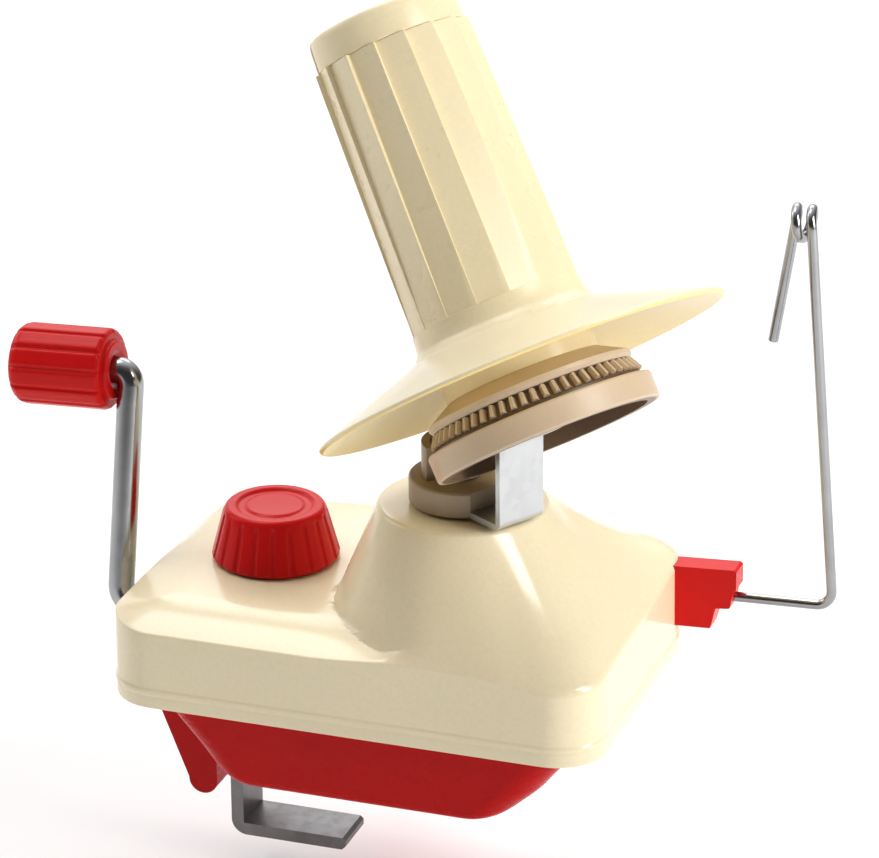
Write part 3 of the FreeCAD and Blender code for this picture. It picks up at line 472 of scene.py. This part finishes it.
def edge_roll(x, y):
    """Rounding of the rim on the right half."""
    d = max(0.0, outline_gap(x - MX, y, HX - 0.5, 39.8, 12.1))
    w = smooth((x + 2.0) / 40.0)
    f = smooth((x - 34.0) / 20.0) * (1 - 0.6 * smooth((y - 5.0) / 30.0))
    k, n = 1.0 + 1.6 * f, 3.0 + 5.0 * f
    return w * k * (1 - min(d, n) / n) ** 2


def reach(cx, cy):
    lo, hi = 10.0, 120.0
    for _ in range(24):
        m = 0.5 * (lo + hi)
        if outline_gap(SX + m * cx - MX, SY + m * cy, HX - 0.5, 39.8, 12.1) > 0:
            lo = m
        else:
            hi = m
    return lo


def top_height(x, y, rb=None):
    dx, dy = x - SX, y - SY
    r = math.hypot(dx, dy)
    if r < 1e-6:
        return DOME_Z
    edge, cap = DOME_R, DOME_Z
    if r <= edge - 1.2:
        return cap
    a = math.degrees(math.atan2(dy, dx))
    left = max(deck(x, y), DOME_Z - 2.4 * (r - edge))
    cx, cy = dx / r, dy / r
    if rb is None:
        rb = reach(cx, cy)
    ze = deck(SX + cx * rb, SY + cy * rb)
    s = min(1.0, max(0.0, (r - edge) / (rb - edge)))
    p = 1.04 + 0.46 * smooth((rb - 34.0) / 16.0)
    right = ze + (DOME_Z - ze) * (1 - s) ** p
    if a > 0:
        w = 1 - smooth((a - 98.0) / 34.0)
    else:
        w = 1 - smooth((-a - 84.0) / 26.0)
    z = (1 - w) * left + w * right - edge_roll(x, y)
    if r < edge + 1.2:
        k = (r - (edge - 1.2)) / 2.4
        z = min(z, DOME_Z - 1.3 * k * k) if r > edge else DOME_Z - 1.3 * k * k
    return z


def rounded_outline(hx, hy, r, n_side=44, n_arc=30):
    """Points and outward normals round a rounded rectangle, anticlockwise."""
    pts = []
    corners = [((hx - r), -(hy - r), -90), ((hx - r), (hy - r), 0), (-(hx - r), (hy - r), 90), (-(hx - r), -(hy - r), 180)]
    for i, (cx, cy, a0) in enumerate(corners):
        for j in range(n_arc):
            a = math.radians(a0 + 90.0 * j / n_arc)
            pts.append((cx + r * math.cos(a), cy + r * math.sin(a), math.cos(a), math.sin(a)))
        nx, ny, na = corners[(i + 1) % 4]
        a = math.radians(a0 + 90)
        p = (cx + r * math.cos(a), cy + r * math.sin(a))
        q = (nx + r * math.cos(math.radians(na)), ny + r * math.sin(math.radians(na)))
        for j in range(n_side):
            t = j / n_side
            pts.append((p[0] + (q[0] - p[0]) * t, p[1] + (q[1] - p[1]) * t, math.cos(a), math.sin(a)))
    return pts


def housing_skin():
    out = [(x + MX, y, nx, ny) for x, y, nx, ny in rounded_outline(HX - 0.5, 39.8, 12.1)]
    N = len(out)
    rings = []
    info = []
    for x, y, nx, ny in out:
        rho = 0.8 + 2.4 * smooth((x - 26.0) / 28.0) * (1 - 0.5 * smooth((y - 10.0) / 25.0))
        he = top_height(x - nx * 0.05, y - ny * 0.05)
        h1 = top_height(x - nx * 2.2, y - ny * 2.2)
        m = max(0.0, (h1 - he) / 2.15)
        root = math.sqrt(1 + m * m)
        zc = he + m * rho - rho * root
        dt = rho * (1 - m / root)
        info.append((rho, m, root, zc, dt))
    # deck: rays from the spindle bore to the edge
    steps = []
    K = 92
    for k in range(K + 1):
        ring = []
        for (x, y, nx, ny), (rho, m, root, zc, dt) in zip(out, info):
            ex, ey = x - nx * dt, y - ny * dt
            L = math.hypot(ex - SX, ey - SY)
            cx, cy = (ex - SX) / L, (ey - SY) / L
            # steps packed around the dome rim and flank
            t = k / K
            if t < 0.06:
                r = 8.06 + (18.4 - 8.06) * (t / 0.06)
            elif t < 0.22:
                r = 18.4 + (21.6 - 18.4) * ((t - 0.06) / 0.16)
            else:
                r = 21.6 + (L - 21.6) * ((t - 0.22) / 0.78)
            X, Y = SX + cx * r, SY + cy * r
            z = top_height(X, Y)
            if k == K:
                z = zc + rho / root
            ring.append((X, Y, z))
        rings.append(ring)
    # rounded edge
    for q in range(1, 7):
        ring = []
        for (x, y, nx, ny), (rho, m, root, zc, dt) in zip(out, info):
            a0 = math.atan2(1 / root, -m / root)
            a = a0 + (math.pi - a0) * q / 6.0
            d = rho + rho * math.cos(a)
            ring.append((x - nx * d, y - ny * d, zc + rho * math.sin(a)))
        rings.append(ring)
    # wall, bead and lip
    n0 = len(rings)
    for q in range(1, 7):
        ring = []
        for (x, y, nx, ny), (rho, m, root, zc, dt) in zip(out, info):
            zb = BEAD_Z + 1.25
            z = zc + (zb - zc) * q / 6.0
            t = q / 6.0
            off = (0.15 + DRAFT * (zc - zb)) * t
            ring.append((x + nx * off * 0.999, y + ny * off * 0.999, z))
        rings.append(ring)
    for off, z in ((0.17, BEAD_Z + 0.95), (0.42, BEAD_Z + 0.62), (0.50, BEAD_Z + 0.35), (0.50, BEAD_Z - 0.3), (0.43, BEAD_Z - 0.6),
                   (0.22, BEAD_Z - 0.9), (0.20, BEAD_Z - 1.2), (0.17, LIP_Z + 0.5), (0.05, LIP_Z + 0.12), (-0.25, LIP_Z), (-1.9, LIP_Z), (-2.1, LIP_Z + 0.2), (-2.1, LIP_Z + 3.2)):
        # the wall widens with the draft down to the bead on every side
        rings.append([(x + nx * off, y + ny * off, z) for x, y, nx, ny in out])
    # make the wall meet the bead without a jump: spread the draft offset
    for q in range(n0, n0 + 6):
        new = []
        for j, (x, y, nx, ny) in enumerate(out):
            rho, m, root, zc, dt = info[j]
            t = (q - n0 + 1) / 6.0
            new.append((x + nx * 0.15 * t, y + ny * 0.15 * t, rings[q][j][2]))
        rings[q] = new
    lead = [(SX + 8.06 * (p[0] - SX) / math.hypot(p[0] - SX, p[1] - SY), SY + 8.06 * (p[1] - SY) / math.hypot(p[0] - SX, p[1] - SY), 64.0) for p in rings[0]]
    rings.insert(0, lead)
    verts = [p for r in rings for p in r]
    return verts, ring_faces(len(rings), N)


v, f = housing_skin()
hs = build("housing_skin", v, f, M['cream'], "base", None, 38.0)
sol = hs.modifiers.new("wall", 'SOLIDIFY')
sol.thickness = 0.0019
sol.offset = -1.0
sol.use_even_offset = False
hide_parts("upper_housing")

# ------------------------------------------------------------------ winding cone
RIB0 = math.radians(-92.2)


def az_point(r, a, z):
    return Vector((-r * math.sin(a), r * math.cos(a), z))


cone_prof = [(-28.72, 23.95), (-28.2, 23.1), (-27.75, 22.45), (-27.3, 22.0), (-27.0, 21.75), (-26.7, 21.4), (-26.0, 21.05), (-24.5, 20.78), (-22.5, 20.6), (-20.5, 20.5), (-18.0, 20.42),
             (-12, 20.42), (-6, 20.42), (0.0, 20.4), (6, 20.33), (12, 20.24), (18, 20.13), (25.0, 20.0), (31, 19.75), (37, 19.48), (42.3, 19.2)]


def cone_r(z):
    for (z0, r0), (z1, r1) in zip(cone_prof, cone_prof[1:]):
        if z <= z1:
            return r0 + (r1 - r0) * (z - z0) / (z1 - z0)
    return cone_prof[-1][1]


def cone_mesh():
    rows, per = [], 12
    fr = [0.0, 0.05, 0.15, 0.28, 0.42, 0.56, 0.70, 0.82, 0.91, 0.965, 0.984, 0.994]
    zs = [p[0] for p in cone_prof]
    zs = sorted(set(zs + [-22.0, -21.9, -20.2, -19.0, -16.0, 42.45]))
    for z in zs:
        row = []
        f = (42.6 - z) / (42.6 + 22.0)
        for k in range(16):
            a0 = RIB0 + math.radians(22.5 * k)
            a1 = a0 + math.radians(22.5)
            for t in fr:
                a = a0 + (a1 - a0) * t
                R = cone_r(z)
                if 0 <= f < 1:
                    p0 = az_point(17.9 + (20.45 - 17.9) * f, a0, z)
                    p1 = az_point(19.3 + (20.75 - 19.3) * f, a1, z)
                    q = p0 * (1 - t) + p1 * t
                    R = min(R, math.hypot(q.x, q.y) - (0.10 if t > 0.99 else 0.0) * (1 - f))
                row.append(tuple(az_point(R, a, z)))
        rows.append(row)
    n = len(rows[0])
    # top shelf and bore, then the foot
    rows.append([tuple(az_point(17.2, RIB0 + 2 * math.pi * j / n, 42.5)) for j in range(n)])
    rows.append([tuple(az_point(17.0, RIB0 + 2 * math.pi * j / n, 41.0)) for j in range(n)])
    rows.append([tuple(az_point(17.8, RIB0 + 2 * math.pi * j / n, -25.0)) for j in range(n)])
    rows.append([tuple(az_point(17.8, RIB0 + 2 * math.pi * j / n, -27.5)) for j in range(n)])
    verts = [p for r in rows for p in r]
    faces = ring_faces(len(rows), n, True, True)
    return verts, faces


v, f = cone_mesh()
cone = build("winding_cone_skin", v, f, M['cream_cone'], "cone", AXIS, 24.0)
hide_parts("winding_cone")

cap_prof = arc_profile([(15.2, 38.5), (16.9, 38.5), (16.9, 42.45), (18.3, 42.6), (17.95, 48.9), (17.3, 50.4), (15.0, 50.5), (14.6, 48.0), (0.001, 48.0), (0.001, 46.6), (15.1, 46.6)],
                       [0, 0, 0, 0.5, 1.6, 1.2, 0.7, 0.4, 0, 0, 0], 6)
SLIT = math.radians(-114.0)


def cap_mesh():
    n = 240
    verts = []
    # ring angles opened into a narrow slit at SLIT
    for r, z in cap_prof:
        for j in range(n):
            a = SLIT + math.radians(2.3) + (2 * math.pi - math.radians(4.6)) * j / (n - 1)
            verts.append((r * math.cos(a), r * math.sin(a), z))
    faces = ring_faces(len(cap_prof), n, False, True)
    m = len(cap_prof)
    faces.append(tuple(i * n for i in range(m)))
    faces.append(tuple(i * n + n - 1 for i in reversed(range(m))))
    return verts, faces


v, f = cap_mesh()
cap = build("cone_cap_skin", v, f, M['cream_cone'], "cone", AXIS, 30.0)
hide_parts("cone_cap")

fl_prof = arc_profile([(5.4, -27.6), (21.0, -27.6), (49.9, -37.85), (50.0, -38.5), (49.3, -39.1), (21.2, -29.75), (18.75, -31.4), (18.7, -39.2), (16.7, -39.2), (16.7, -29.6), (5.4, -29.6)],
                      [0, 2.0, 0.5, 0.5, 0.6, 2.0, 1.6, 0.2, 0, 0, 0], 6)
fl = revolve("flange_skin", fl_prof, M['flange'], "cone", AXIS, 200)
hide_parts("flange_disc")

# ------------------------------------------------------------------ clamp knob
KB, KT, KZ0, KZ1 = 15.6, 12.3, 43.2, 56.7
knob_prof = arc_profile([(9.0, 47.0), (9.0, KZ0 + 0.4), (11.8, KZ0 + 0.4), (11.8, KZ0), (14.7, KZ0), (KB, KZ0 + 0.8), (KT + 0.3, KZ1 - 1.4), (KT - 0.6, KZ1), (9.6, KZ1), (8.8, KZ1 - 0.75), (7.4, KZ1 - 0.75), (6.6, KZ1 - 0.25), (0.001, KZ1 - 0.15), (0.001, 47.0)],
                        [0, 0, 0, 0.2, 0.3, 0.5, 1.6, 1.4, 0.5, 0.4, 0.4, 0.6, 0, 0], 7)


def knob_r(r, z, a):
    if r < 12.2 or z < KZ0 + 0.1 or z > KZ1 - 0.4:
        return r
    k = smooth((z - KZ0 - 0.3) / 0.8) * (1 - smooth((z - KZ1 + 2.4) / 1.6))
    c = math.cos(20 * a)
    return r - 0.42 * k * smooth((c - 0.35) / 0.65)


knob_rows = []
for i, (r, z) in enumerate(knob_prof):
    knob_rows.append((r, z))
    if i + 1 < len(knob_prof):
        r2, z2 = knob_prof[i + 1]
        if abs(z2 - z) > 5 and r > 12:
            for t in (0.08, 0.2, 0.35, 0.5, 0.65, 0.8, 0.92):
                knob_rows.append((r + (r2 - r) * t, z + (z2 - z) * t))
kn = revolve("knob_skin", knob_rows, M['red_lit'], "knob", Matrix.Translation((KX, KY, 0)), 400, True, 34.0, knob_r)
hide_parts("clamp_knob")

# ------------------------------------------------------------------ crank rod and grip
AD = Vector((0, math.sin(ARM_TILT), math.cos(ARM_TILT)))
C0 = Vector((ARM_X, SY, CZ))
C1 = C0 + AD * ARM_L


def bend_points(corner, din, dout, t, n=14):
    """Circular bend between two straight legs; t is the tangent length."""
    phi = din.angle(dout)
    rho = t / math.tan(0.5 * phi)
    bis = (dout - din).normalized()
    cen = corner + bis * (rho / math.cos(0.5 * phi))
    a = corner - din * t - cen
    side = din.normalized()
    return [cen + a * math.cos(phi * i / n) + side * (rho * math.sin(phi * i / n)) for i in range(n + 1)]


def run(a, b, n):
    return [a + (b - a) * (i / n) for i in range(1, n)]


b1 = bend_points(C0, Vector((-1, 0, 0)), AD, 5.0)
GOUT = Vector((-math.cos(GRIP_TILT), 0, -math.sin(GRIP_TILT)))
b2 = bend_points(C1, AD, GOUT, 3.5)
rod_end = C1 + GOUT * 28.6
rod_pts = [Vector((14.0, SY, CZ))] + run(Vector((14.0, SY, CZ)), b1[0], 12) + b1 + run(b1[-1], b2[0], 12) + b2 + run(b2[-1], rod_end, 6) + [rod_end]
rod = tube_along("crank_rod_skin", rod_pts, ROD_R, M['rod'], "crank", 36)
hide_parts("crank_rod")

gl = GRIP_L
ge = gl + GRIP_COLLAR
gp = arc_profile([(3.32, 0.0), (5.2, 2.6), (5.2, 0.0), (8.8, 0.0), (10.0, 1.6), (10.0, gl - 0.9), (9.2, gl), (7.3, gl), (7.3, ge), (4.8, ge), (3.32, gl + 0.6)],
                 [0, 0, 0.3, 0.8, 1.2, 0.9, 0.5, 0.3, 0.6, 0.3, 0], 6)
gp[0] = (3.32, 2.6)
rows = []
for i, (r, z) in enumerate(gp):
    rows.append((r, z))
    if i + 1 < len(gp):
        r2, z2 = gp[i + 1]
        if abs(z2 - z) > 15 and r > 9:
            rows += [(r + (r2 - r) * t / 10, z + (z2 - z) * t / 10) for t in range(1, 10)]


def grip_r(r, z, a):
    if r < 8.5:
        return r
    k = smooth((r - 8.4) / 1.2)
    ph = (a * 12 / (2 * math.pi)) % 1.0
    # broad flats between narrow grooves
    g = math.exp(-((ph - 0.5) / 0.10) ** 2)
    return r - k * (0.55 * g + 0.10 * (2 * abs(ph - 0.5)) ** 2)


gz = -GOUT
gx = Vector((-math.sin(GRIP_TILT), 0, math.cos(GRIP_TILT)))
gm = basis(gx, gz.cross(gx), gz, C1 + GOUT * (GRIP_N0 + ge))
gr = revolve("grip_skin", rows, M['red_lit'], "grip", gm, 360, True, 40.0, grip_r)
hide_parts("crank_grip")

# ------------------------------------------------------------------ yarn guide wire
GD = Vector((1, 0, 0.04)).normalized()
g0 = Vector((76.6, GUIDE_Y, 36.3))
bend = Vector((100.3, GUIDE_Y, 37.25))
legtop = Vector((93.1, GUIDE_Y, 132.4))
up = (legtop - bend).normalized()
p_in, p_out = bend - GD * 4.0, bend + up * 4.0
start = g0 - GD * 20.0
wp = [start] + run(start, p_in, 8) + [p_in]
wp += bend_points(bend, GD, up, 4.0, 12)[1:-1]
wp += [p_out] + run(p_out, legtop, 30)
CR, PITCH = 3.5, 3.7
yc, zc = GUIDE_Y + CR, 132.4
for i in range(73):
    a = 3 * math.pi * i / 72.0
    wp.append(Vector((93.1 - PITCH * 1.5 * i / 72.0, yc - CR * math.cos(a), zc + CR * math.sin(a))))
tail0, tail1 = wp[-1], Vector((83.0, 34.0, 101.6))
wp += run(tail0, tail1, 12) + [tail1]
gw = tube_along("guide_wire_skin", wp, WIRE_R, M['wire'], "guide", 20)
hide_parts("guide_wire")

# ------------------------------------------------------------------ floor, lights, camera
fl_me = bpy.data.meshes.new("floor")
FZ = -0.0420              # below the jaw and the grip at their lowest
fl_me.from_pydata([(-6, -6, FZ), (6, -6, FZ), (6, 8, FZ), (-6, 8, FZ)], [], [(0, 1, 2, 3)])
floor = bpy.data.objects.new("floor", fl_me)
scene.collection.objects.link(floor)
fm = bpy.data.materials.new("floor_paper")
nt, b = nodes_of(fm)
tc = add(nt, 'ShaderNodeTexCoord').outputs['Object']
nf = noise(nt, tc, 3.0, 2.0)
nt.links.new(ramp(nt, nf, [(0.3, (0.88, 0.88, 0.88, 1)), (0.7, (0.90, 0.90, 0.90, 1))]), b.inputs['Base Color'])
b.inputs['Roughness'].default_value = 0.9
b.inputs['Specular IOR Level'].default_value = 0.1
fl_me.materials.append(fm)

world = bpy.data.worlds.new("studio")
scene.world = world
world.use_nodes = True
wn = world.node_tree
bg = next(n for n in wn.nodes if n.type == 'BACKGROUND')
wtc = add(wn, 'ShaderNodeTexCoord').outputs['Generated']
tilt = add(wn, 'ShaderNodeVectorMath', operation='DOT_PRODUCT')
wn.links.new(wtc, tilt.inputs[0])
tilt.inputs[1].default_value = (-0.40, 0.55, 0.73)
wr = add(wn, 'ShaderNodeValToRGB')
el = wr.color_ramp.elements
el[0].position, el[0].color = 0.0, (0.05, 0.05, 0.052, 1)
el[1].position, el[1].color = 0.86, (1.0, 1.0, 1.0, 1)
for p, c in ((0.36, 0.14), (0.58, 0.44)):
    e = el.new(p)
    e.color = (c, c, c, 1)
wn.links.new(tilt.outputs['Value'], wr.inputs['Fac'])
wn.links.new(wr.outputs['Color'], bg.inputs['Color'])
bg.inputs['Strength'].default_value = 1.30


def area(name, loc, target, size, size_y, power, col=(1, 1, 1)):
    li = bpy.data.lights.new(name, 'AREA')
    li.shape = 'RECTANGLE'
    li.size, li.size_y = size, size_y
    li.energy = power
    li.color = col
    ob = bpy.data.objects.new(name, li)
    scene.collection.objects.link(ob)
    ob.location = loc
    d = Vector(target) - Vector(loc)
    ob.rotation_mode = 'QUATERNION'
    ob.rotation_quaternion = d.to_track_quat('-Z', 'Y')
    return ob


area("key_right", (1.35, -0.20, 0.52), (0.0, 0.0, 0.06), 0.40, 0.60, 13.0, (1.0, 0.985, 0.95))
area("overhead", (-0.55, 0.26, 1.50), (0.0, 0.0, 0.05), 0.7, 0.55, 6.0)
area("left_soft", (-1.30, 0.10, 0.75), (0.0, 0.0, 0.08), 0.60, 0.80, 3.6)
area("back_floor", (-0.6, 1.9, 1.5), (-0.5, 1.3, 0.0), 1.6, 1.2, 14.0)
area("glint", (0.93, -0.24, 0.92), (0.02, -0.03, 0.05), 0.40, 0.30, 5.0)

cam_d = bpy.data.cameras.new("camera")
cam = bpy.data.objects.new("camera", cam_d)
scene.collection.objects.link(cam)
cam_d.sensor_fit = 'HORIZONTAL'
cam_d.sensor_width = 36.0
cam_d.lens = 4761.49 / 879.0 * 36.0
cam_d.clip_start, cam_d.clip_end = 0.05, 50.0
yaw, pitch, roll = 0.34192337, -0.39734501, -0.00881288
fwd = Vector((-math.sin(yaw) * math.cos(pitch), math.cos(yaw) * math.cos(pitch), math.sin(pitch)))
right = Vector((math.cos(yaw), math.sin(yaw), 0))
upv = right.cross(fwd)
r2 = right * math.cos(roll) + upv * math.sin(roll)
u2 = -right * math.sin(roll) + upv * math.cos(roll)
cam.matrix_world = basis(r2, u2, -fwd, Vector((0.35862354, -0.97591189, 0.51774403)))
scene.camera = cam
scene.view_settings.view_transform = 'Standard'
